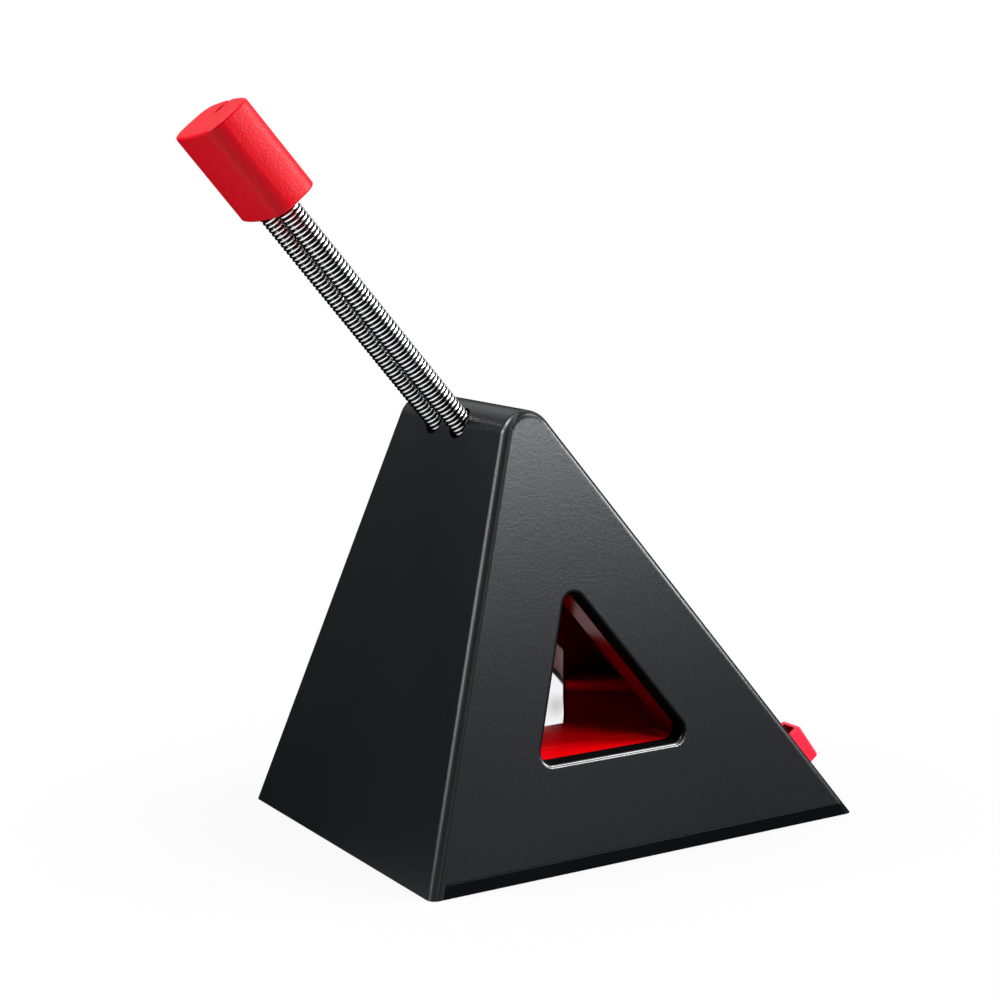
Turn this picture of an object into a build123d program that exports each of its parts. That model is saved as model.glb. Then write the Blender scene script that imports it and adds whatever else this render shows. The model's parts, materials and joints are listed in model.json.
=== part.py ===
from build123d import *
import math
import os

# Mouse bungee: a weighted wedge stand whose two coil springs carry a rubber head for a mouse cable
# Millimetres, +Z up, the front faces -Y, and the origin is the middle of the stand on the table

# Housing: a hollow wedge that leans in on all four sides and ends in a round ridge
base_width = 72.2
base_depth = 97.4
front_slope_angle = 17.6
rear_slope_angle = 37.5
side_slope_angle = 11.45
ridge_round = 5.7
edge_round = 1.8
housing_wall = 2.4

# Three-cornered window in each side, with a collar that turns inwards
window_sill = 19.8
window_front_margin = 18.2
window_rear_margin = 17.5
window_round = 2.2
window_lip_round = 0.95
collar_wall = 1.6
collar_depth = 3.4

# Base: a sole that lies in a pocket of the plate and stands a little proud, the plate and the floor tray
sole_thickness = 1.0
sole_proud = 0.2
sole_rim = 2.0
sole_corner = 3.0
plate_thickness = 2.6
plate_lip_round = 0.4
tray_thickness = 1.6
tray_rim_height = 2.0
tray_rim_wall = 1.2

# Red liner around the inner chamber, with a sleeve that reaches out to each collar
liner_wall = 1.4
liner_standoff = 0.4
liner_setback = 8.2
sleeve_gap = 0.2
liner_headroom = 5.0

# Red deck on the tray, level with the windows' sills, with a hole for the ballast
deck_wall = 1.4

# Ballast: one plated steel block
ballast_width = 18.0
ballast_length = 27.6
ballast_height = 34.0
ballast_centre_y = -15.8
ballast_round = 1.2
ballast_screw_pitch = 15.0

# Screws, all of one size, with countersunk heads
screw_radius = 1.1
screw_head_radius = 2.2
screw_head_height = 1.3
screw_grip = 7.0
screw_socket_radius = 0.9
screw_socket_depth = 0.7

# Corner bosses of the housing that take the base screws
boss_radius = 2.6
boss_wall_gap = 2.8
boss_front_setback = 5.0
boss_rear_setback = 13.0
boss_depth = 11.0

# Spring block under the ridge, held by its two ears
block_wall = 3.6
block_lift = 3.2
ear_thickness = 3.4
ear_boss_reach = 15.5

# Arm: two close-coiled springs on one slanted axis in front of the ridge's centre
# The springs stand and hang a little to the left, and the whole arm is drawn along that lean
arm_rise_angle = 50.5
arm_lean_angle = -4.7
arm_offset = -1.47
arm_setback = 2.38
spring_outer = 4.8
spring_wire = 0.84
coil_gap = 0.03
spring_spacing = 8.9
spring_seat = 18.5
spring_hole_gap = 0.55
coil_groove = 0.34
coil_lead = 3.0
pin_length = 12.0
pin_press_depth = 3.0

# Rubber head on the springs' upper ends, and its stiff core
head_start = 51.85
head_length = 19.55
head_width = 20.6
head_depth = 11.0
head_rise = 0.82
head_face_bulge = 1.0
head_side_bulge = 0.7
head_corner = 3.4
head_tip_round = 0.6
head_foot_round = 0.5
socket_depth = 10.0
slit_width = 1.8
slit_depth = 4.4
slit_flare = 0.6
core_bar_height = 3.0
core_bar_thickness = 2.4
core_bar_overhang = 2.2
core_bar_round = 0.5

# Cable clips low on the rear slope, one near each side edge
clip_height_on_slope = 11.7
clip_edge_margin = 7.6
clip_width = 5.0
clip_length = 8.2
clip_rise = 4.2
clip_wall = 0.9
clip_round = 0.75

# Clearances
fit_gap = 0.15
press_gap = 0.02
spring_fit = 0.12
moulded_gap = 0.05

# Cutting tools run this far past the surface that they open
overrun = 6.0

# Boxes, cylinders and cones that stand on their place instead of round it
on_floor = (Align.CENTER, Align.CENTER, Align.MIN)

# Levels and places that follow from the sizes above
plate_bottom = sole_proud
plate_top = plate_bottom + plate_thickness
tray_top = plate_top + tray_thickness
screw_seat = sole_thickness


def tangent(angle):
    return math.tan(math.radians(angle))


def cosine(angle):
    return math.cos(math.radians(angle))


def sine(angle):
    return math.sin(math.radians(angle))


def front_y(z, inset=0.0):
    """Where the front slope, moved inwards by inset, stands at height z."""
    return -base_depth / 2 + z * tangent(front_slope_angle) + inset / cosine(front_slope_angle)


def rear_y(z, inset=0.0):
    """Where the rear slope, moved inwards by inset, stands at height z."""
    return base_depth / 2 - z * tangent(rear_slope_angle) - inset / cosine(rear_slope_angle)


def half_width(z, inset=0.0):
    """Half the distance between the side slopes, both moved inwards by inset, at height z."""
    return base_width / 2 - z * tangent(side_slope_angle) - inset / cosine(side_slope_angle)


def peak_z(front_inset=0.0, rear_inset=0.0):
    """Height at which the front and rear slopes, moved inwards, would meet."""
    width_at_table = rear_y(0, rear_inset) - front_y(0, front_inset)
    return width_at_table / (tangent(front_slope_angle) + tangent(rear_slope_angle))


def side_outline(front_inset, rear_inset, bottom, top=None, ridge=0.0, corners=0.0):
    """Face between the two slopes in the side view, with a round ridge, round corners or a flat top."""
    peak = peak_z(front_inset, rear_inset)
    points = [(front_y(bottom, front_inset), bottom), (rear_y(bottom, rear_inset), bottom)]
    if top is None:
        points.append((front_y(peak, front_inset), peak))
    else:
        points.append((rear_y(top, rear_inset), top))
        points.append((front_y(top, front_inset), top))
    face = make_face(Polyline(*points, close=True))
    if ridge > 0:
        face = fillet(face.vertices().sort_by(Axis.Y)[-1], ridge)
    if corners > 0:
        face = fillet(face.vertices(), corners)
    return Plane.YZ * face


def wedge(front_inset, rear_inset, side_inset, bottom, top=None, ridge=0.0):
    """Solid between all four slopes, each moved inwards by its inset."""
    peak = peak_z(front_inset, rear_inset)
    high = peak if top is None else top
    long = extrude(side_outline(front_inset, rear_inset, bottom, top, ridge), base_width, both=True)
    low_half = half_width(bottom, side_inset)
    high_half = half_width(high, side_inset)
    points = [(-low_half, bottom), (low_half, bottom), (high_half, high), (-high_half, high)]
    across = extrude(Plane.XZ * make_face(Polyline(*points, close=True)), base_depth, both=True)
    return long & across


def slanted_edges(solid):
    """Edges that run up the side faces and over the ridge."""
    sides = [face for face in solid.faces() if abs(face.normal_at().X) > 0.9]
    edges = [edge for face in sides for edge in face.edges()]
    return [edge for edge in edges if edge.bounding_box().size.Z > 0.2]


def column(radius, x, y, bottom, top):
    """Upright cylinder between two heights."""
    return Pos(x, y, bottom) * Cylinder(radius, top - bottom, align=on_floor)


def ridge_centre():
    """Side-view centre of the ridge's rounding, as y and z."""
    half_angle = (front_slope_angle + rear_slope_angle) / 2
    reach = ridge_round / sine(half_angle)
    tilt = (rear_slope_angle - front_slope_angle) / 2
    peak = peak_z()
    return front_y(peak) + reach * sine(tilt), peak - reach * cosine(tilt)


# The arm's own frame: z along the springs, x across them, y up and back
ridge_y, ridge_z = ridge_centre()
arm_root_y = ridge_y - arm_setback * sine(arm_rise_angle) - ridge_round * cosine(arm_rise_angle)
arm_root_z = ridge_z - arm_setback * cosine(arm_rise_angle) + ridge_round * sine(arm_rise_angle)
upright_arm = Vector(0, -cosine(arm_rise_angle), sine(arm_rise_angle))
sideways = Vector(1, 0, 0)
arm_direction = upright_arm * cosine(arm_lean_angle) + sideways * sine(arm_lean_angle)
arm_across = sideways * cosine(arm_lean_angle) - upright_arm * sine(arm_lean_angle)
arm = Plane(origin=(arm_offset, arm_root_y, arm_root_z), x_dir=arm_across, z_dir=arm_direction)
spring_sides = {"left": -spring_spacing / 2, "right": spring_spacing / 2}
spring_inner_radius = spring_outer / 2 - spring_wire
spring_end = head_start + socket_depth
pin_radius = spring_inner_radius - spring_fit
pin_start = -spring_seat - pin_press_depth


def along_arm(radius, x, start, end):
    """Cylinder beside the arm's axis, between two distances from the root, in the arm's own frame."""
    return Pos(x, 0, start) * Cylinder(radius, end - start, align=on_floor)


def screw(x, y, z, length):
    """Countersunk screw that points up, with the flat of its head at height z."""
    head = Cone(screw_head_radius, screw_radius, screw_head_height, align=on_floor)
    shank = Cylinder(screw_radius, length, align=on_floor)
    socket = extrude(RegularPolygon(screw_socket_radius, 6), screw_socket_depth)
    return Pos(x, y, z) * (head + shank - socket)


def screw_hole(x, y, z, length):
    """Clearance for the same screw, open below its head."""
    gap = moulded_gap
    head = Cone(screw_head_radius + gap, screw_radius + gap, screw_head_height, align=on_floor)
    mouth = Cylinder(screw_head_radius + gap, overrun, align=(Align.CENTER, Align.CENTER, Align.MAX))
    shank = Cylinder(screw_radius + gap, length + gap, align=on_floor)
    return Pos(x, y, z) * (head + mouth + shank)


# Heights of the inner storeys, from the window's peak upwards
liner_top = peak_z(window_front_margin, window_rear_margin) + liner_headroom
block_bottom = liner_top + block_lift
ear_top = block_bottom + ear_thickness
ear_boss_y = (front_y(ear_top, housing_wall) + rear_y(ear_top, housing_wall)) / 2

# Places of the screws
boss_x = half_width(plate_top, housing_wall) - boss_wall_gap
boss_rows = (front_y(plate_top, housing_wall) + boss_front_setback,
             rear_y(plate_top, housing_wall) - boss_rear_setback)
base_screw_places = [(side * boss_x, y) for side in (-1, 1) for y in boss_rows]
ballast_screw_places = [(0, ballast_centre_y + side * ballast_screw_pitch / 2) for side in (-1, 1)]
ear_screw_places = [(side * ear_boss_reach, ear_boss_y) for side in (-1, 1)]
base_screw_length = plate_top - screw_seat + screw_grip
ballast_screw_length = tray_top - screw_seat + screw_grip
ear_screw_length = ear_thickness + screw_grip

# The liner's outer faces stand this far inside the housing's outer faces
liner_slope_inset = housing_wall + liner_standoff
liner_side_inset = liner_setback


def chamber_wedge(inset, bottom, top):
    """Solid inside the liner's outer faces, moved inwards by inset."""
    slope_inset = liner_slope_inset + inset
    return wedge(slope_inset, slope_inset, liner_side_inset + inset, bottom, top=top)


def window_prism(grow=0.0):
    """The window's opening through the whole width, or the collar's outside when grown."""
    outline = side_outline(window_front_margin - grow, window_rear_margin - grow, window_sill - grow,
                           corners=window_round + grow)
    return extrude(outline, base_width, both=True)


def clip_plane(side):
    """Frame on the rear slope at a clip's middle: x across, y down the slope, z outwards."""
    x = side * (half_width(clip_height_on_slope) - clip_edge_margin)
    y = rear_y(clip_height_on_slope)
    outwards = (0, cosine(rear_slope_angle), sine(rear_slope_angle))
    return Plane(origin=(x, y, clip_height_on_slope), x_dir=(1, 0, 0), z_dir=outwards)


def sole_outline(grow=0.0):
    """The sole's face, or its pocket in the plate when grown."""
    front = front_y(plate_bottom, housing_wall + fit_gap) + sole_rim - grow
    rear = rear_y(plate_bottom) - sole_rim + grow
    width = 2 * (half_width(plate_bottom) - sole_rim + grow)
    return Pos(0, (front + rear) / 2) * RectangleRounded(width, rear - front, sole_corner + grow)


def make_housing():
    outer = wedge(0, 0, 0, plate_bottom, ridge=ridge_round)
    outer = fillet(slanted_edges(outer), edge_round)
    wall = housing_wall
    cavity = wedge(wall, wall, wall, plate_bottom - overrun, ridge=ridge_round - wall)
    shell = outer - cavity
    # The front wall reaches down to the sole, the other three walls stand on the plate
    shell -= wedge(wall, -overrun, -overrun, plate_bottom - overrun, top=plate_top)
    # Collars run from inside the wall to their depth below the side faces
    band = wedge(0, 0, wall / 2, plate_top)
    band -= wedge(-overrun, -overrun, collar_depth, plate_top - overrun)
    shell += window_prism(collar_wall) & band
    shell -= window_prism()
    for side in (-1, 1):
        outside = shell.faces().filter_by(lambda face: face.normal_at().X * side > 0.9).sort_by(Axis.X)
        face = outside[-1] if side > 0 else outside[0]
        shell = fillet(face.inner_wires()[0].edges(), window_lip_round)
    inside = wedge(wall / 2, wall / 2, wall / 2, plate_top, ridge=ridge_round - wall / 2)
    for x, y in base_screw_places:
        shell += column(boss_radius, x, y, plate_top, plate_top + boss_depth) & inside
    for x, y in ear_screw_places:
        shell += column(boss_radius, x, y, ear_top, ridge_z) & inside
    for x, y in base_screw_places:
        shell -= screw_hole(x, y, screw_seat, base_screw_length)
    for x, y in ear_screw_places:
        shell -= column(screw_radius + moulded_gap, x, y, ear_top - overrun, block_bottom + ear_screw_length)
    for x in spring_sides.values():
        shell -= arm * along_arm(spring_outer / 2 + spring_hole_gap, x, -overrun, spring_seat)
    for side in (-1, 1):
        for leg in (-1, 1):
            slot = Box(clip_wall + 2 * fit_gap, clip_length + 2 * fit_gap, 2 * (wall + fit_gap))
            shell -= clip_plane(side) * Pos(leg * (clip_width - clip_wall) / 2, 0, 0) * slot
    return shell


def make_base_plate():
    plate = wedge(housing_wall + fit_gap, 0, 0, plate_bottom, top=plate_top)
    rear_corners = [edge for edge in slanted_edges(plate) if edge.center().Y > 0]
    plate = fillet(rear_corners, edge_round)
    top_edges = plate.faces().sort_by(Axis.Z)[-1].edges()
    front_limit = front_y(plate_top, 2 * housing_wall)
    plate = fillet([edge for edge in top_edges if edge.center().Y > front_limit], plate_lip_round)
    plate -= extrude(sole_outline(fit_gap), sole_thickness)
    for x, y in base_screw_places:
        plate -= screw_hole(x, y, screw_seat, base_screw_length)
    for x, y in ballast_screw_places:
        plate -= screw_hole(x, y, screw_seat, ballast_screw_length)
    return plate


def make_sole_pad():
    return extrude(sole_outline(), sole_thickness)


def make_floor_tray():
    tray = chamber_wedge(0, plate_top, tray_top)
    rim_top = tray_top + tray_rim_height
    rim = chamber_wedge(liner_wall + fit_gap, tray_top, rim_top)
    rim -= chamber_wedge(liner_wall + fit_gap + tray_rim_wall, tray_top, rim_top)
    tray += rim
    for x, y in ballast_screw_places:
        tray -= screw_hole(x, y, screw_seat, ballast_screw_length)
    return tray


def make_inner_liner():
    outer = chamber_wedge(0, tray_top, liner_top)
    cavity = chamber_wedge(liner_wall, tray_top - overrun, liner_top - liner_wall)
    # Sleeves run from inside the side walls to just short of the housing's collars
    band = wedge(0, 0, collar_depth + sleeve_gap, plate_top)
    band -= wedge(-overrun, -overrun, liner_side_inset + liner_wall / 2, plate_top - overrun)
    sleeves = window_prism(liner_wall) & band
    return outer - cavity + sleeves - window_prism()


def make_chamber_deck():
    outside = liner_wall + fit_gap
    skirt_outside = outside + tray_rim_wall + fit_gap
    deck = chamber_wedge(outside, window_sill - deck_wall, window_sill)
    # A skirt stands on the tray, inside its rim
    deck += chamber_wedge(skirt_outside, tray_top, window_sill - deck_wall / 2)
    deck -= chamber_wedge(skirt_outside + deck_wall, tray_top - overrun, window_sill - deck_wall)
    hole = Box(ballast_width + 2 * fit_gap, ballast_length + 2 * fit_gap, ballast_height, align=on_floor)
    return deck - Pos(0, ballast_centre_y, tray_top) * hole


def make_ballast_block():
    block = Box(ballast_width, ballast_length, ballast_height, align=on_floor)
    block = Pos(0, ballast_centre_y, tray_top) * fillet(block.edges(), ballast_round)
    for x, y in ballast_screw_places:
        block -= screw_hole(x, y, screw_seat, ballast_screw_length)
    return block


def make_spring_block():
    inset = housing_wall + fit_gap
    filling = wedge(inset, inset, inset, block_bottom, ridge=ridge_round - inset)
    block_half = spring_spacing / 2 + spring_outer / 2 + block_wall
    ear_half = ear_boss_reach + boss_radius
    middle = Box(2 * block_half, 2 * base_depth, 2 * peak_z(), align=on_floor)
    ears = Box(2 * ear_half, 2 * base_depth, ear_thickness, align=on_floor)
    block = filling & (Pos(0, 0, block_bottom) * (middle + ears))
    for x, y in ear_screw_places:
        block -= screw_hole(x, y, block_bottom, ear_screw_length)
    for x in spring_sides.values():
        block -= arm * along_arm(spring_outer / 2 + spring_fit, x, -spring_seat, head_start)
        block -= arm * along_arm(pin_radius + press_gap, x, pin_start, 0)
    return block


def make_anchor_pin(x):
    return arm * along_arm(pin_radius, x, pin_start, pin_length - spring_seat)


def make_spring(x):
    """Close-coiled spring: a sleeve with one groove between each two turns of the wire that show."""
    pitch = spring_wire + coil_gap
    low = moulded_gap - spring_seat
    high = spring_end - moulded_gap
    crest = spring_outer / 2
    turns = int((head_start + coil_lead) / pitch)
    points = [(spring_inner_radius, low), (crest, low)]
    for turn in range(turns):
        points.append((crest, turn * pitch - coil_lead))
        points.append((crest - coil_groove, (turn + 0.5) * pitch - coil_lead))
    points.append((crest, turns * pitch - coil_lead))
    points.append((crest, high))
    points.append((spring_inner_radius, high))
    profile = Plane.XZ * make_face(Polyline(*points, close=True))
    return arm * Pos(x, 0, 0) * revolve(profile, Axis.Z)


def make_head_outline():
    """The head's section: a rectangle with bulging sides and round corners."""
    corner_x = head_width / 2 - head_side_bulge
    corner_y = head_depth / 2 - head_face_bulge
    back = ThreePointArc((-corner_x, corner_y), (0, head_depth / 2), (corner_x, corner_y))
    right = ThreePointArc((corner_x, corner_y), (head_width / 2, 0), (corner_x, -corner_y))
    front = ThreePointArc((corner_x, -corner_y), (0, -head_depth / 2), (-corner_x, -corner_y))
    left = ThreePointArc((-corner_x, -corner_y), (-head_width / 2, 0), (-corner_x, corner_y))
    face = make_face([back, right, front, left])
    return fillet(face.vertices(), head_corner)


def make_slit_outline():
    """The slit's section: a round floor, straight walls and a mouth that flares at 45 degrees."""
    back = head_rise + head_depth / 2
    half = slit_width / 2
    floor_centre = back - slit_depth + half
    flare_start = back - slit_flare
    flare_end = back + overrun
    outer_half = half + slit_flare + overrun
    walls = Polyline((half, floor_centre), (half, flare_start), (outer_half, flare_end),
                     (-outer_half, flare_end), (-half, flare_start), (-half, floor_centre))
    floor = ThreePointArc((-half, floor_centre), (0, floor_centre - half), (half, floor_centre))
    return make_face([*walls.edges(), floor])


def core_bar(grow=0.0):
    """Bar that joins the core's pegs, or the room for it in the rubber when grown."""
    length = spring_spacing + 2 * core_bar_overhang + 2 * grow
    bar = Box(length, core_bar_thickness + 2 * grow, core_bar_height + 2 * grow)
    return Pos(0, 0, spring_end + core_bar_height / 2) * fillet(bar.edges(), core_bar_round)


def make_cable_head():
    body = Pos(0, head_rise, head_start) * extrude(make_head_outline(), head_length)
    body = fillet(body.faces().sort_by(Axis.Z)[-1].edges(), head_tip_round)
    body = fillet(body.faces().sort_by(Axis.Z)[0].edges(), head_foot_round)
    body -= Pos(0, 0, head_start - overrun) * extrude(make_slit_outline(), head_length + 2 * overrun)
    for x in spring_sides.values():
        body -= along_arm(spring_outer / 2 + spring_fit, x, head_start - overrun, spring_end)
    body -= core_bar(moulded_gap)
    return arm * body


def make_head_core():
    core = core_bar()
    for x in spring_sides.values():
        core += along_arm(pin_radius, x, head_start + head_foot_round, spring_end)
    return arm * core


def make_rear_clip(side):
    """Loop with two legs that are pressed through slots in the wall."""
    leg_end = -housing_wall
    loop = Pos(0, 0, leg_end) * Box(clip_width, clip_length, clip_rise - leg_end, align=on_floor)
    loop = fillet(loop.faces().sort_by(Axis.Z)[-1].edges(), clip_round)
    tunnel_width = clip_width - 2 * clip_wall
    tunnel_height = clip_rise - clip_wall - leg_end
    loop -= Pos(0, 0, leg_end) * Box(tunnel_width, clip_length, tunnel_height, align=on_floor)
    return clip_plane(side) * loop


def make_screws(places, z, length):
    return Compound([screw(x, y, z, length) for x, y in places])


nodes = {
    "housing": make_housing(),
    "base_plate": make_base_plate(),
    "sole_pad": make_sole_pad(),
    "floor_tray": make_floor_tray(),
    "inner_liner": make_inner_liner(),
    "chamber_deck": make_chamber_deck(),
    "ballast_block": make_ballast_block(),
    "spring_block": make_spring_block(),
    "cable_head": make_cable_head(),
    "head_core": make_head_core(),
    "rear_clip_left": make_rear_clip(-1),
    "rear_clip_right": make_rear_clip(1),
    "base_screws": make_screws(base_screw_places, screw_seat, base_screw_length),
    "ballast_screws": make_screws(ballast_screw_places, screw_seat, ballast_screw_length),
    "block_screws": make_screws(ear_screw_places, block_bottom, ear_screw_length),
}
for side_name, side_x in spring_sides.items():
    nodes["spring_" + side_name] = make_spring(side_x)
    nodes["anchor_pin_" + side_name] = make_anchor_pin(side_x)

os.makedirs("parts", exist_ok=True)
for name, solid in nodes.items():
    export_step(solid, f"parts/{name}.step")
    print(name, "volume", round(solid.volume, 1), "solids", len(solid.solids()), "valid", solid.is_valid)
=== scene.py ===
# %% [markdown]
# # A mouse bungee in a white studio
#
# A heavy black wedge stands on the desk. Two close-coiled springs leave its ridge and carry a red
# rubber head, whose slit holds the cable of a mouse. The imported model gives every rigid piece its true
# shape, so this lesson keeps those meshes, gives each one a finish of its own, and builds the springs
# again, because they have to bend between the stand and the head.

# %% Load the frame
import bpy
import bmesh
import json
import math
from mathutils import Matrix, Vector


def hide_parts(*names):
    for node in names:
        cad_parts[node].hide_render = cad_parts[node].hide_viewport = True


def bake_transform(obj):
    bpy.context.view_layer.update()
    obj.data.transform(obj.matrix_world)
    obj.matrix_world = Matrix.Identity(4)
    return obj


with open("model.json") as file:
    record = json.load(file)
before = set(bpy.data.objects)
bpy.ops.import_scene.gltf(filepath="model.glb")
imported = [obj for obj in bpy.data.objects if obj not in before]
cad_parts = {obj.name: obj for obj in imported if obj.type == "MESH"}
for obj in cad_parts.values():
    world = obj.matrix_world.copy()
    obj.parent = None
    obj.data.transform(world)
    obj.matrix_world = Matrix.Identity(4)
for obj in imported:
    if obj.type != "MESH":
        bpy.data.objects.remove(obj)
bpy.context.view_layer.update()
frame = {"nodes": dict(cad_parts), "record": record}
nodes = frame["nodes"]
mm = 0.001

# %% [markdown]
# ## The camera
#
# The photograph was taken from the right of the front, a little above the ridge. Its straight edges fix
# the camera: the turn and the height angle come from the vanishing directions, and the focal length from
# how fast the edges run together. The place is written as a point, because a point is easier to compare
# with the object than a distance.

# %% Set the camera
camera_turn = math.radians(58.18)
camera_height = math.radians(9.15)
camera_place = Vector((332.8, -218.6, 126.7)) * mm
camera_data = bpy.data.cameras.new("studio_camera")
camera_data.sensor_width = 36.0
camera_data.lens = 73.57
camera_data.clip_start = 0.01
camera_data.clip_end = 50.0
camera = bpy.data.objects.new("studio_camera", camera_data)
camera.location = camera_place
camera.rotation_euler = (math.pi / 2 - camera_height, 0.0, camera_turn)
bpy.context.scene.collection.objects.link(camera)
bpy.context.scene.camera = camera
print("camera at", [round(value, 4) for value in camera.location])

# %% [markdown]
# ## Helpers for materials
#
# Every finish is a Principled shader whose colour, roughness and bump come from noise in Object
# coordinates. They could come from painted pictures, but noise has no seams and stays sharp in a close
# view. All pieces sit at the origin, so Object coordinates are metres in the real frame, and a noise
# scale of 1000 means about one grain a millimetre.

# %% Material helpers
def link(tree, source, output, target, socket):
    tree.links.new(source.outputs[output], target.inputs[socket])


def new_finish(name, **sockets):
    """A material with one Principled shader and constants on the shader's own sockets."""
    material = bpy.data.materials.new(name)
    material.use_nodes = True
    shader = material.node_tree.nodes["Principled BSDF"]
    for socket, value in sockets.items():
        shader.inputs[socket.replace("_", " ")].default_value = value
    return material, material.node_tree, shader


def object_space(tree):
    return tree.nodes.new("ShaderNodeTexCoord")


def dress(finish, *names):
    """Gives CAD nodes a finish of their own."""
    for name in names:
        mesh = nodes[name].data
        mesh.materials.clear()
        mesh.materials.append(finish)


print("pieces to dress", len(nodes))

# %% [markdown]
# ## Helpers for values
#
# Masks are worked out from a place or a direction. A few small helpers make the nodes for that. Each takes
# the outputs of other nodes and gives back its own output, so that a mask reads like a formula.

# %% Value helpers
def soft_range(tree, value, low, high, first=0.0, last=1.0):
    """Goes smoothly from the first number to the last while a value goes from low to high."""
    node = tree.nodes.new("ShaderNodeMapRange")
    node.interpolation_type = "SMOOTHSTEP"
    node.inputs["From Min"].default_value = low
    node.inputs["From Max"].default_value = high
    node.inputs["To Min"].default_value = first
    node.inputs["To Max"].default_value = last
    tree.links.new(value, node.inputs["Value"])
    return node.outputs["Result"]


def value_of_two(tree, operation, first, second):
    node = tree.nodes.new("ShaderNodeMath")
    node.operation = operation
    tree.links.new(first, node.inputs[0])
    tree.links.new(second, node.inputs[1])
    return node.outputs[0]


def larger(tree, first, second):
    return value_of_two(tree, "MAXIMUM", first, second)


def times(tree, first, second):
    return value_of_two(tree, "MULTIPLY", first, second)


def along(tree, place, direction):
    """How far a place lies along a direction."""
    node = tree.nodes.new("ShaderNodeVectorMath")
    node.operation = "DOT_PRODUCT"
    node.inputs[1].default_value = direction
    tree.links.new(place, node.inputs[0])
    return node.outputs["Value"]


print("value helpers ready")

# %% [markdown]
# ## Mould grain as a node group
#
# The texture of the mould leaves a fine grain on plastic and rubber. It is built once as a group with
# named sockets, and each material places it with its own scale and depth. Noise alone looks like clouds,
# so shallow cells of a coarser size are added to it. The group puts out a height only, so that the shader
# stays in the material.

# %% Mould grain
def new_group(name, inputs, outputs):
    """Empty group with its sockets; an input has a label, a kind and a value or None."""
    group = bpy.data.node_groups.new(name, "ShaderNodeTree")
    for label, kind, value in inputs:
        socket = group.interface.new_socket(label, in_out="INPUT", socket_type=kind)
        if value is not None:
            socket.default_value = value
    for label, kind in outputs:
        group.interface.new_socket(label, in_out="OUTPUT", socket_type=kind)
    return group, group.nodes.new("NodeGroupInput"), group.nodes.new("NodeGroupOutput")


def make_grain_group():
    """Fine noise and coarser cells, added together as a height."""
    cell_scale = 0.37
    cell_share = 0.35
    group, start, end = new_group(
        "mould_grain",
        [("Vector", "NodeSocketVector", None), ("Scale", "NodeSocketFloat", 2500.0)],
        [("Height", "NodeSocketFloat")],
    )
    fine = group.nodes.new("ShaderNodeTexNoise")
    fine.inputs["Detail"].default_value = 3.0
    fine.inputs["Roughness"].default_value = 0.55
    coarser = group.nodes.new("ShaderNodeMath")
    coarser.operation = "MULTIPLY"
    coarser.inputs[1].default_value = cell_scale
    cells = group.nodes.new("ShaderNodeTexVoronoi")
    total = group.nodes.new("ShaderNodeMath")
    total.operation = "MULTIPLY_ADD"
    total.inputs[1].default_value = cell_share
    link(group, start, "Vector", fine, "Vector")
    link(group, start, "Scale", fine, "Scale")
    link(group, start, "Scale", coarser, 0)
    link(group, start, "Vector", cells, "Vector")
    link(group, coarser, 0, cells, "Scale")
    link(group, cells, "Distance", total, 0)
    link(group, fine, "Fac", total, 2)
    link(group, total, 0, end, "Height")
    return group


grain_group = make_grain_group()
print("group", grain_group.name)

# %% [markdown]
# ## Gloss drift as a node group
#
# No moulding or plating is equally glossy all over. Slow noise moves the roughness a little from one
# area to the next. One plain number would look like a drawing, and a map for each piece would be
# a lot of work, so one group serves them all. It also puts out the bare noise as a mask, with which
# a material shifts its colour.

# %% Gloss drift
def make_drift_group():
    """Slow drift between two values over the surface."""
    group, start, end = new_group(
        "gloss_drift",
        [
            ("Vector", "NodeSocketVector", None),
            ("Scale", "NodeSocketFloat", 60.0),
            ("Low", "NodeSocketFloat", 0.4),
            ("High", "NodeSocketFloat", 0.5),
        ],
        [("Value", "NodeSocketFloat"), ("Mask", "NodeSocketFloat")],
    )
    drift = group.nodes.new("ShaderNodeTexNoise")
    drift.inputs["Detail"].default_value = 4.0
    spread = group.nodes.new("ShaderNodeMapRange")
    spread.inputs["From Min"].default_value = 0.3
    spread.inputs["From Max"].default_value = 0.7
    link(group, start, "Vector", drift, "Vector")
    link(group, start, "Scale", drift, "Scale")
    link(group, drift, "Fac", spread, "Value")
    link(group, start, "Low", spread, "To Min")
    link(group, start, "High", spread, "To Max")
    link(group, spread, "Result", end, "Value")
    link(group, drift, "Fac", end, "Mask")
    return group


drift_group = make_drift_group()
print("group", drift_group.name)

# %% [markdown]
# ## A moulded finish
#
# Every plastic and rubber on the stand is dyed right through and takes its surface from a mould. So one
# function puts together what they share: drifting gloss, drifting colour and grain. What differs between
# them is given by name where the finish is made.

# %% Moulded finish
def place_group(tree, group, coordinates, **values):
    node = tree.nodes.new("ShaderNodeGroup")
    node.node_tree = group
    link(tree, coordinates, "Object", node, "Vector")
    for socket, value in values.items():
        node.inputs[socket].default_value = value
    return node


def add_grain(tree, shader, coordinates, scale, depth):
    """Fine bump of the given depth in metres."""
    grain = place_group(tree, grain_group, coordinates, Scale=scale)
    bump = tree.nodes.new("ShaderNodeBump")
    bump.inputs["Distance"].default_value = depth
    link(tree, grain, "Height", bump, "Height")
    link(tree, bump, "Normal", shader, "Normal")


def add_gloss_drift(tree, shader, coordinates, scale, low, high):
    drift = place_group(tree, drift_group, coordinates, Scale=scale, Low=low, High=high)
    link(tree, drift, "Value", shader, "Roughness")
    return drift


def add_two_colours(tree, shader, mask, first, second):
    """Base colour that goes from the first colour to the second with a mask."""
    mix = tree.nodes.new("ShaderNodeMix")
    mix.data_type = "RGBA"
    mix.inputs["A"].default_value = first
    mix.inputs["B"].default_value = second
    tree.links.new(mask, mix.inputs["Factor"])
    tree.links.new(mix.outputs[2], shader.inputs["Base Color"])


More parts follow.
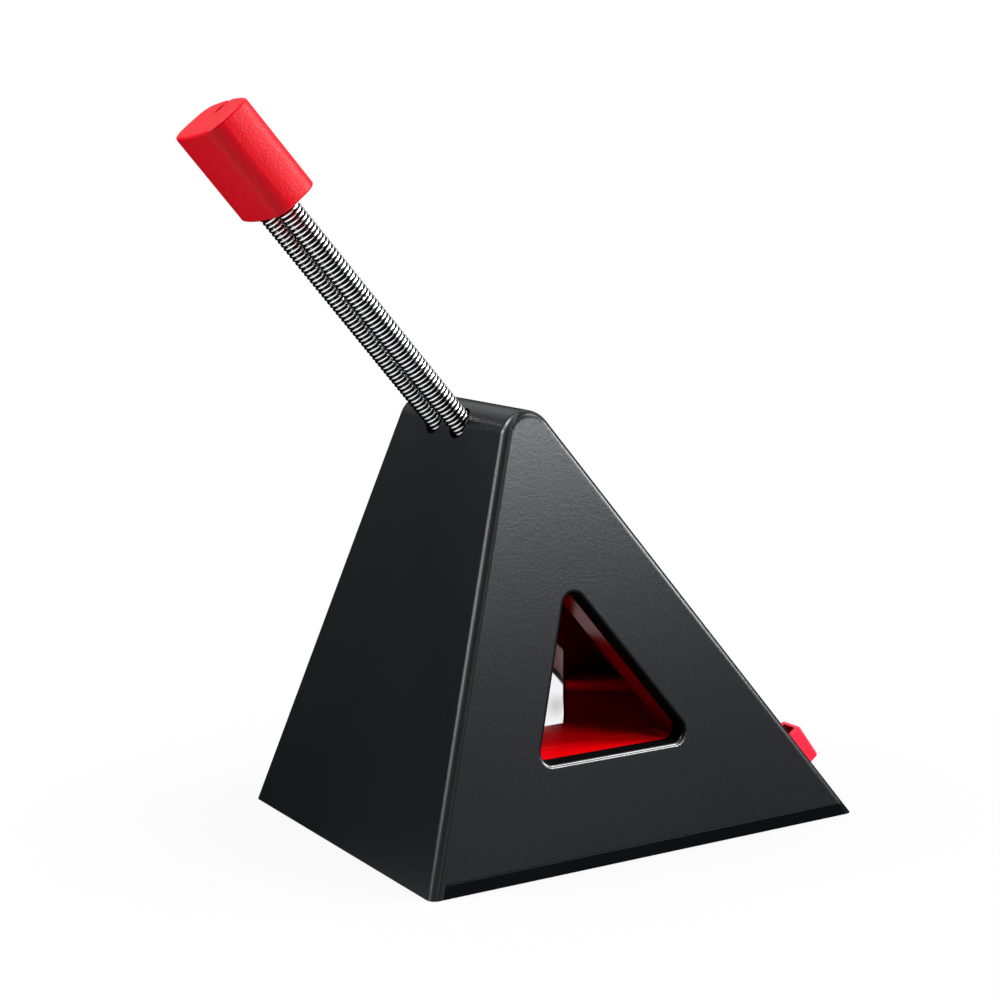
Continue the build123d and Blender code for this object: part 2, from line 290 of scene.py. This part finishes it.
def moulded_finish(name, dark, light, drift_scale, smooth, rough, grain_scale, grain_depth, **sockets):
    """Plastic or rubber with drifting gloss, drifting colour and mould grain."""
    material, tree, shader = new_finish(name, **sockets)
    coordinates = object_space(tree)
    drift = add_gloss_drift(tree, shader, coordinates, drift_scale, smooth, rough)
    add_two_colours(tree, shader, drift.outputs["Mask"], dark, light)
    add_grain(tree, shader, coordinates, grain_scale, grain_depth)
    return material


print("groups", [group.name for group in bpy.data.node_groups])

# %% [markdown]
# ## Black plastics
#
# The housing is satin black with a fine, even mould texture that softens every reflection. Nearly all
# that the eye sees of black plastic is reflection, so the base colour stays close to black and the gloss
# does the work. A lighter base colour would be the simple way to the greys of the photograph, but then
# the foot of the housing couldn't fade to black. The plate below it is moulded from a deeper black and
# shows as a darker strip. The sole is matt rubber.

# %% Black shell, base and sole
shell_dark = (0.0040, 0.0043, 0.0052, 1)
shell_light = (0.0056, 0.0060, 0.0072, 1)
shell_finish = moulded_finish(
    "satin_black_shell", dark=shell_dark, light=shell_light,
    drift_scale=45.0, smooth=0.245, rough=0.255, grain_scale=3200.0, grain_depth=0.00002,
    Specular_IOR_Level=0.17, Specular_Tint=(0.92, 0.94, 1.0, 1),
)
base_finish = moulded_finish(
    "smooth_black_base", dark=(0.0010, 0.0011, 0.0014, 1), light=(0.0018, 0.0020, 0.0024, 1),
    drift_scale=40.0, smooth=0.20, rough=0.26, grain_scale=1500.0, grain_depth=0.000004,
    Specular_IOR_Level=0.03,
)
sole_finish = moulded_finish(
    "sole_rubber", dark=(0.012, 0.012, 0.012, 1), light=(0.022, 0.022, 0.022, 1),
    drift_scale=90.0, smooth=0.75, rough=0.9, grain_scale=1800.0, grain_depth=0.00006,
)
dress(shell_finish, "housing")
dress(base_finish, "base_plate", "spring_block", "head_core")
dress(sole_finish, "sole_pad")
print("black finishes", shell_finish.name, base_finish.name, sole_finish.name)

# %% [markdown]
# ## Lips, collars and front edges
#
# Each window has a rounded lip and behind it a collar that turns inwards. The collar is matt, so it mirrors
# nothing of the red chamber, and its colour is darker than the shell's, which is painted shade in the
# recess. The lower lip and the two rounded front edges are rubbed smooth and catch the light as bright
# lines. They could be pieces of their own, but on the real stand they are one moulding with the housing, so
# they are further material slots of it.

# %% Finishes of the lips, collars and front edges
# Painted shade: the collar in the recess of the window is coloured darker than the shell.
collar_shade_finish = moulded_finish(
    "shaded_black_collar", dark=(0.0010, 0.0010, 0.0012, 1), light=(0.0020, 0.0020, 0.0022, 1),
    drift_scale=60.0, smooth=0.70, rough=0.80, grain_scale=1500.0, grain_depth=0.00001,
    Specular_IOR_Level=0.02,
)
lip_finish = moulded_finish(
    "smooth_black_lip", dark=shell_dark, light=shell_light,
    drift_scale=60.0, smooth=0.20, rough=0.24, grain_scale=1500.0, grain_depth=0.000002,
    Specular_IOR_Level=0.6,
)
edge_finish = moulded_finish(
    "rubbed_black_edge", dark=shell_dark, light=shell_light,
    drift_scale=60.0, smooth=0.31, rough=0.35, grain_scale=1500.0, grain_depth=0.000002,
    Specular_IOR_Level=0.85,
)
shell_mesh = nodes["housing"].data
for finish in (collar_shade_finish, lip_finish, edge_finish):
    shell_mesh.materials.append(finish)
print("finishes of the housing", [finish.name for finish in shell_mesh.materials])

# %% [markdown]
# ## Sorting the faces of the housing
#
# The faces of each slot could be listed by number, but such a list is wrong as soon as the model is made
# again. So each face is sorted by where it points. Rounded faces turn away from the flat sides without
# pointing straight in. Those of the lip and the collar also lie near the middle of the window, as seen
# from the side.

# %% Sort the faces of the housing
shell_slot, shaded_collar_slot, lip_slot, edge_slot = range(4)
window_middle = Vector((-6.0, 30.0)) * mm
window_reach = 22.0 * mm
flat_side = 0.95
straight_in = 0.35
plainly_turned = 0.25


def housing_slot(face):
    """Slot of one face, by where it points and how far it lies from the middle of the window."""
    from_middle = Vector((face.center.y, face.center.z)) - window_middle
    near_window = from_middle.length < window_reach
    sideways = abs(face.normal.x)
    rounded = straight_in < sideways < flat_side
    if near_window and rounded and face.normal.z > plainly_turned:
        return lip_slot
    # Faces of the collar, which take the painted shade of the recess.
    if near_window and sideways < flat_side:
        return shaded_collar_slot
    if rounded and face.normal.y < -plainly_turned:
        return edge_slot
    return shell_slot


face_counts = [0] * len(shell_mesh.materials)
for face in shell_mesh.polygons:
    face.material_index = housing_slot(face)
    face_counts[face.material_index] += 1
print("faces of shell, collars, lips and edges", face_counts)

# %% [markdown]
# ## Red chamber
#
# The chamber behind the window is glossy red. Its walls are given a much darker red than the deck and the
# sills, which is painted shade, while the deck and the sills keep the bright red. The sills are the faces of
# the liner that point up. One red for all of it would be simpler, but then the far wall would shine as
# brightly as the deck.

# %% Red liner, deck and sills
points_up = 0.7
# Painted shade: the liner's walls are a much darker red than the deck and the sills.
liner_shade_finish = moulded_finish(
    "shaded_red_liner", dark=(0.16, 0.000, 0.001, 1), light=(0.20, 0.000, 0.002, 1),
    drift_scale=50.0, smooth=0.14, rough=0.20, grain_scale=900.0, grain_depth=0.000003,
    Specular_IOR_Level=0.04,
)
deck_finish = moulded_finish(
    "gloss_red_deck", dark=(0.66, 0.000, 0.002, 1), light=(0.74, 0.001, 0.004, 1),
    drift_scale=50.0, smooth=0.10, rough=0.16, grain_scale=900.0, grain_depth=0.000003,
    Specular_IOR_Level=0.15,
)
dress(liner_shade_finish, "inner_liner")
dress(deck_finish, "chamber_deck", "floor_tray")
liner_mesh = nodes["inner_liner"].data
liner_mesh.materials.append(deck_finish)
# Faces that point up keep the bright red, so the painted shade lies on the walls only.
sill_faces = [face for face in liner_mesh.polygons if face.normal.z > points_up]
for face in sill_faces:
    face.material_index = 1
print("sill faces", len(sill_faces), "of", len(liner_mesh.polygons))

# %% [markdown]
# ## Red head and loops
#
# The head is satin rubber. Its mould was blasted, so its grain is deeper than that of the plastics and
# breaks the highlights into fine specks. The specks could be modelled, but they are about a quarter of
# a millimetre across and hardly larger than a picture point, so a bump does. Rubber reflects less than
# hard plastic, so its specular level is low and its red stays deep. The loops on the rear slope are hard
# plastic of a brighter red.

# %% Red head and loops
head_finish = moulded_finish(
    "satin_red_rubber", dark=(0.50, 0.000, 0.006, 1), light=(0.56, 0.000, 0.009, 1),
    drift_scale=80.0, smooth=0.31, rough=0.36, grain_scale=4200.0, grain_depth=0.00006,
    Specular_IOR_Level=0.13,
)
loop_finish = moulded_finish(
    "bright_red_loop", dark=(0.80, 0.005, 0.03, 1), light=(0.86, 0.010, 0.04, 1),
    drift_scale=150.0, smooth=0.28, rough=0.38, grain_scale=2500.0, grain_depth=0.00001,
)
dress(head_finish, "cable_head")
dress(loop_finish, "rear_clip_left", "rear_clip_right")
print("red finishes", liner_shade_finish.name, deck_finish.name, head_finish.name, loop_finish.name)

# %% [markdown]
# ## Plain steel
#
# Screws and pins are plain steel. On metal the colour hardly changes, so it is one constant, and the work
# is in the roughness and in a shallow bump that breaks up straight reflections.

# %% Plain steel
screw_finish, screw_tree, screw_shader = new_finish(
    "plain_screw_steel", Base_Color=(0.55, 0.55, 0.57, 1), Metallic=1.0,
)
screw_space = object_space(screw_tree)
add_gloss_drift(screw_tree, screw_shader, screw_space, scale=300.0, low=0.25, high=0.4)
add_grain(screw_tree, screw_shader, screw_space, scale=4000.0, depth=0.00001)
dress(screw_finish, "anchor_pin_left", "anchor_pin_right", "base_screws", "ballast_screws", "block_screws")
print("steel finish", screw_finish.name)

# %% [markdown]
# ## Plated wire
#
# The springs are plated wire. Its colour is bright metal only on the outside of each turn and nearly black
# in the grooves, which is painted shade between the turns. Darkness in the grooves could be left to the
# mirrors of turn in turn, but those send much of the light out again. So the colour follows an attribute of
# the mesh, which is 1 on the crest of the wire.

# %% Plated wire
# Painted shade: the wire is coloured nearly black in the grooves between turns, bright metal on the crest.
groove_shade_colour = (0.010, 0.010, 0.011, 1)
crest_colour = (0.88, 0.88, 0.89, 1)
wire_groove_shade_finish, wire_tree, wire_shader = new_finish("plated_wire_groove_shade", Metallic=1.0)
add_gloss_drift(wire_tree, wire_shader, object_space(wire_tree), scale=900.0, low=0.04, high=0.09)
crest = wire_tree.nodes.new("ShaderNodeAttribute")
crest.attribute_name = "crest"
# Mask for the painted shade: 0 in the grooves between turns, 1 on the crest.
groove_shade_mask = soft_range(wire_tree, crest.outputs["Fac"], 0.66, 0.94)
add_two_colours(wire_tree, wire_shader, groove_shade_mask, groove_shade_colour, crest_colour)
print("wire finish", wire_groove_shade_finish.name)

# %% [markdown]
# ## Cast ballast
#
# The ballast is cast and plated. Its faces have draft, so they mirror what is outside the window, and slow
# waves bend that reflection. Only a strip of the block shows, so its form stays plain and the draft is
# left to the normals: a bump whose height changes evenly with y and z leans every face alike.

# %% Cast ballast
cast_lean = (0.0, 0.15, -0.21)
wave_scale = 110.0
wave_depth = 0.0010
ballast_finish, ballast_tree, ballast_shader = new_finish(
    "plated_ballast", Base_Color=(0.90, 0.90, 0.91, 1), Metallic=1.0,
)
ballast_space = object_space(ballast_tree)
add_gloss_drift(ballast_tree, ballast_shader, ballast_space, scale=120.0, low=0.03, high=0.08)
slope = along(ballast_tree, ballast_space.outputs["Object"], cast_lean)
waves = ballast_tree.nodes.new("ShaderNodeTexNoise")
waves.inputs["Scale"].default_value = wave_scale
waves.inputs["Detail"].default_value = 0.0
height = ballast_tree.nodes.new("ShaderNodeMath")
height.operation = "MULTIPLY_ADD"
height.inputs[1].default_value = wave_depth
lean_bump = ballast_tree.nodes.new("ShaderNodeBump")
lean_bump.inputs["Distance"].default_value = 1.0
link(ballast_tree, ballast_space, "Object", waves, "Vector")
link(ballast_tree, waves, "Fac", height, 0)
ballast_tree.links.new(slope, height.inputs[2])
link(ballast_tree, height, 0, lean_bump, "Height")
link(ballast_tree, lean_bump, "Normal", ballast_shader, "Normal")
dress(ballast_finish, "ballast_block")
print("finishes", len(bpy.data.materials))

# %% [markdown]
# ## The arm's frame
#
# Both springs follow one slanted axis. It could be measured again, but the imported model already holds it:
# the dip hinge and the sway hinge both lie on it, and the sway hinge turns about the direction that points
# out of the arm's back. Taking the frame from the two joints keeps the springs in place when the part
# changes.

# %% The arm's frame
# Distances along the arm are in millimetres from its root.
dip_distance = 11.0
joints = {joint["name"]: joint for joint in frame["record"]["behaviour"]["joints"]}
dip_place = Vector(joints["arm_dip"]["pos_m"])
sway_place = Vector(joints["arm_sway"]["pos_m"])
arm_along = (sway_place - dip_place).normalized()
arm_back = Vector(joints["arm_sway"]["axis"]).normalized()
arm_across = arm_back.cross(arm_along)
arm_root = dip_place - arm_along * dip_distance * mm
arm_frame = Matrix.Translation(arm_root) @ Matrix((arm_across, arm_back, arm_along)).transposed().to_4x4()


print("arm root", [round(value / mm, 2) for value in arm_root])

# %% [markdown]
# ## Winding a spring
#
# Each spring is round wire wound turn on turn. A curve with a round section would also give a helix, but
# its mesh would hold no mark for the crest. So a ring of wire is spun round the axis while it climbs one
# pitch, which is what a coiling machine does. That turn is then copied up the axis and the copies are
# welded, which is much quicker than spinning every turn.

# %% Wind a spring
wire_radius = 0.42 * mm
coil_radius = 1.98 * mm
coil_pitch = 0.87 * mm
weld_distance = 0.001 * mm
steps_a_turn = 24
wire_sides = 16


def wind_coil(name, offset, start, turns):
    """One length of spring in the arm's frame, from a ring of wire that is spun and lifted."""
    mesh = bmesh.new()
    crest_layer = mesh.verts.layers.float.new("crest")
    ring = bmesh.ops.create_circle(mesh, cap_ends=False, segments=wire_sides, radius=wire_radius)
    for vertex in ring["verts"]:
        vertex[crest_layer] = vertex.co.x / wire_radius
    upright = Matrix.Rotation(math.pi / 2, 4, "X")
    first_place = Matrix.Translation((offset + coil_radius, 0, start)) @ upright
    bmesh.ops.transform(mesh, matrix=first_place, verts=ring["verts"])
    bmesh.ops.spin(
        mesh, geom=mesh.edges[:], cent=(offset, 0, 0), axis=(0, 0, 1), dvec=(0, 0, coil_pitch / steps_a_turn),
        angle=2 * math.pi, steps=steps_a_turn, use_merge=False,
    )
    first_turn = mesh.verts[:] + mesh.edges[:] + mesh.faces[:]
    for turn in range(1, turns):
        copy = bmesh.ops.duplicate(mesh, geom=first_turn)
        copied = [part for part in copy["geom"] if isinstance(part, bmesh.types.BMVert)]
        bmesh.ops.translate(mesh, vec=(0, 0, turn * coil_pitch), verts=copied)
    bmesh.ops.remove_doubles(mesh, verts=mesh.verts[:], dist=weld_distance)
    open_edges = [edge for edge in mesh.edges if edge.is_boundary]
    bmesh.ops.holes_fill(mesh, edges=open_edges, sides=0)
    bmesh.ops.recalc_face_normals(mesh, faces=mesh.faces[:])
    for face in mesh.faces:
        face.smooth = True
    bmesh.ops.transform(mesh, matrix=arm_frame, verts=mesh.verts[:])
    data = bpy.data.meshes.new(name)
    mesh.to_mesh(data)
    mesh.free()
    data.materials.append(wire_groove_shade_finish)
    piece = bpy.data.objects.new(name, data)
    bpy.context.scene.collection.objects.link(piece)
    return piece


print("spring across in mm", round(2 * (coil_radius + wire_radius) / mm, 2))

# %% [markdown]
# ## The two springs
#
# The springs stand side by side and bend as one arm. The arm has two joints, so each spring is made in two
# lengths: the lower one for the joint between the stand and the arm, and the upper one for the joint between
# the arm and the head. One length for both joints would need three bodies, and a blend takes two. The
# lengths meet at the same angle of the same turn, so no seam shows.

# %% The two springs
spring_offset = 4.45 * mm
spring_start = -18.03 * mm
lower_turns = 55
upper_turns = 36
split_height = spring_start + lower_turns * coil_pitch
for side, offset in (("left", -spring_offset), ("right", spring_offset)):
    lower = wind_coil("spring_" + side + "_lower", offset, spring_start, lower_turns)
    upper = wind_coil("spring_" + side + "_upper", offset, split_height, upper_turns)
    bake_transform(lower)
    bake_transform(upper)
    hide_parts("spring_" + side)
    print(side, "spring faces", len(lower.data.polygons) + len(upper.data.polygons))

# %% [markdown]
# ## Floor
#
# The photograph is a cut-out on white, and the stand needs a floor for its soft shadow. A white sheet
# under strong light would give that white too, but such light would wash out the black shell. So the
# floor is matt grey for the light of the lamps, and the next step makes it pale to the camera.

# %% Floor
floor_mesh = bmesh.new()
bmesh.ops.create_grid(floor_mesh, x_segments=1, y_segments=1, size=12.0)
floor_data = bpy.data.meshes.new("studio_floor")
floor_mesh.to_mesh(floor_data)
floor_mesh.free()
floor = bpy.data.objects.new("studio_floor", floor_data)
bpy.context.scene.collection.objects.link(floor)
floor_finish, floor_tree, floor_shader = new_finish(
    "pale_floor", Base_Color=(0.38, 0.38, 0.38, 1), Roughness=0.9, Specular_IOR_Level=0.0,
)
floor_data.materials.append(floor_finish)
print("floor", floor.name, floor_finish.name)

# %% [markdown]
# ## What the floor shows
#
# To the camera the floor glows white, and close to the stand a part of its shading stays, which is the
# shadow. In reflections only a patch in front and on the right is white, like a card that lies on a dark
# table, because plated wire mirrors such a card along the crest of each turn. A real card would show in
# the picture, so it is left to the floor's own glow.

# %% What the floor shows
path = floor_tree.nodes.new("ShaderNodeLightPath").outputs
place = object_space(floor_tree).outputs["Object"]
distance = floor_tree.nodes.new("ShaderNodeVectorMath")
distance.operation = "LENGTH"
floor_tree.links.new(place, distance.inputs[0])
reach = distance.outputs["Value"]
card_start = soft_range(floor_tree, along(floor_tree, place, (0.65, -0.76, 0.0)), 0.02, 0.08)
card_end = soft_range(floor_tree, reach, 0.32, 0.40, first=1.0, last=0.0)
in_card = times(floor_tree, card_start, card_end)
whiteness = soft_range(floor_tree, reach, 0.04, 0.13, first=0.88, last=1.0)
seen = times(floor_tree, path["Is Camera Ray"], whiteness)
mirrored = larger(floor_tree, path["Is Glossy Ray"], path["Is Transmission Ray"])
glow = floor_tree.nodes.new("ShaderNodeEmission")
floor_tree.links.new(larger(floor_tree, path["Is Camera Ray"], in_card), glow.inputs["Strength"])
floor_mix = floor_tree.nodes.new("ShaderNodeMixShader")
floor_tree.links.new(larger(floor_tree, seen, mirrored), floor_mix.inputs[0])
link(floor_tree, floor_shader, "BSDF", floor_mix, 1)
link(floor_tree, glow, "Emission", floor_mix, 2)
link(floor_tree, floor_mix, 0, floor_tree.nodes["Material Output"], "Surface")
print("floor nodes", len(floor_tree.nodes))

# %% [markdown]
# ## Screens round the table
#
# For the light on the object the room is white on the right and behind, white above at the back, and dark
# in front, as in a studio with white screens round the back of the table. A room that is white all round
# would be simpler, but the dark front is what gives the plated wire its black bands and keeps black
# plastic black. A screen on the left that grows brighter upwards is what the front face mirrors, so the
# face fades towards its foot.

# %% Screens
world = bpy.data.worlds.new("white_studio")
bpy.context.scene.world = world
world.use_nodes = True
world_tree = world.node_tree
direction = world_tree.nodes.new("ShaderNodeTexCoord")
parts = world_tree.nodes.new("ShaderNodeSeparateXYZ")
link(world_tree, direction, "Generated", parts, 0)


def soft_step(axis, low, high):
    """Goes from 0 to 1 while one part of the direction goes from low to high."""
    return soft_range(world_tree, parts.outputs[axis], low, high)


right_screen = times(world_tree, soft_step("X", -0.1, 0.3), soft_step("Y", 0.05, 0.25))
back_screen = times(world_tree, soft_step("Z", 0.25, 0.45), soft_step("Y", -0.25, 0.05))
left_corner = times(world_tree, soft_step("X", -0.45, -0.75), soft_step("Y", -0.1, -0.3))
left_screen = times(world_tree, left_corner, soft_step("Z", 0.05, 0.50))
screens = larger(world_tree, larger(world_tree, right_screen, back_screen), left_screen)
print("screens in", world.name)

# %% [markdown]
# ## The room as the object and the camera see it
#
# Between the screens the room has a little light, so that no reflection is quite black. The camera sees
# plain white all round, because the photograph has no background.

# %% Room
room_level = 0.01
level = world_tree.nodes.new("ShaderNodeMapRange")
level.inputs["To Min"].default_value = room_level
level.inputs["To Max"].default_value = 1.0
world_tree.links.new(screens, level.inputs["Value"])
surround = world_tree.nodes["Background"]
surround.inputs["Color"].default_value = (1, 1, 1, 1)
link(world_tree, level, "Result", surround, "Strength")
white = world_tree.nodes.new("ShaderNodeBackground")
white.inputs["Color"].default_value = (1, 1, 1, 1)
white.inputs["Strength"].default_value = 1.0
world_path = world_tree.nodes.new("ShaderNodeLightPath")
world_mix = world_tree.nodes.new("ShaderNodeMixShader")
link(world_tree, world_path, "Is Camera Ray", world_mix, 0)
link(world_tree, surround, "Background", world_mix, 1)
link(world_tree, white, "Background", world_mix, 2)
link(world_tree, world_mix, 0, world_tree.nodes["World Output"], "Surface")
print("world nodes", len(world_tree.nodes))

# %% [markdown]
# ## Lamps
#
# A low strip on the right is mirrored by the side face, so that the face fades from grey at the top to
# black at the foot. A tall softbox in front draws a bright line down the rounded front edge, and leaves
# the front face nearly black, because that face mirrors a place beside it. A softbox behind on the right
# shines down through the window onto the red deck, and the window's lip mirrors it as a bright line. Below
# it, another strip gives the head its broad highlight. The last lamp hangs above the front and lights the
# end of the head. Each lamp is given as a turn from +X and a rise from the table, because that is how
# reflections are planned.

# %% Lamps
lamp_distance = 0.90


def soft_lamp(name, turn, rise, target, width, height, watts):
    """Rectangular lamp that faces a target; angles in degrees, lengths in metres."""
    data = bpy.data.lights.new(name, "AREA")
    data.shape = "RECTANGLE"
    data.size = width
    data.size_y = height
    data.energy = watts
    lamp = bpy.data.objects.new(name, data)
    level_distance = lamp_distance * math.cos(math.radians(rise))
    across = level_distance * math.cos(math.radians(turn))
    back = level_distance * math.sin(math.radians(turn))
    away = Vector((across, back, lamp_distance * math.sin(math.radians(rise))))
    lamp.location = Vector(target) + away
    lamp.rotation_euler = (-away).to_track_quat("-Z", "Y").to_euler()
    bpy.context.scene.collection.objects.link(lamp)


soft_lamp("side_strip", 33.0, 19.0, (0.02, 0.0, 0.05), width=0.30, height=0.14, watts=5.0)
soft_lamp("head_strip", 68.0, 14.0, (0.0, -0.05, 0.12), width=0.34, height=0.22, watts=7.0)
soft_lamp("front_softbox", 247.0, 24.0, (0.0, 0.0, 0.06), width=0.26, height=0.45, watts=7.0)
soft_lamp("rear_softbox", 60.0, 45.0, (0.0, 0.0, 0.08), width=0.30, height=0.30, watts=6.0)
soft_lamp("top_front_lamp", 250.0, 60.0, (0.0, 0.0, 0.10), width=0.30, height=0.30, watts=6.5)
bpy.context.scene.view_settings.view_transform = "Standard"
print("lamps", len(bpy.data.lights))
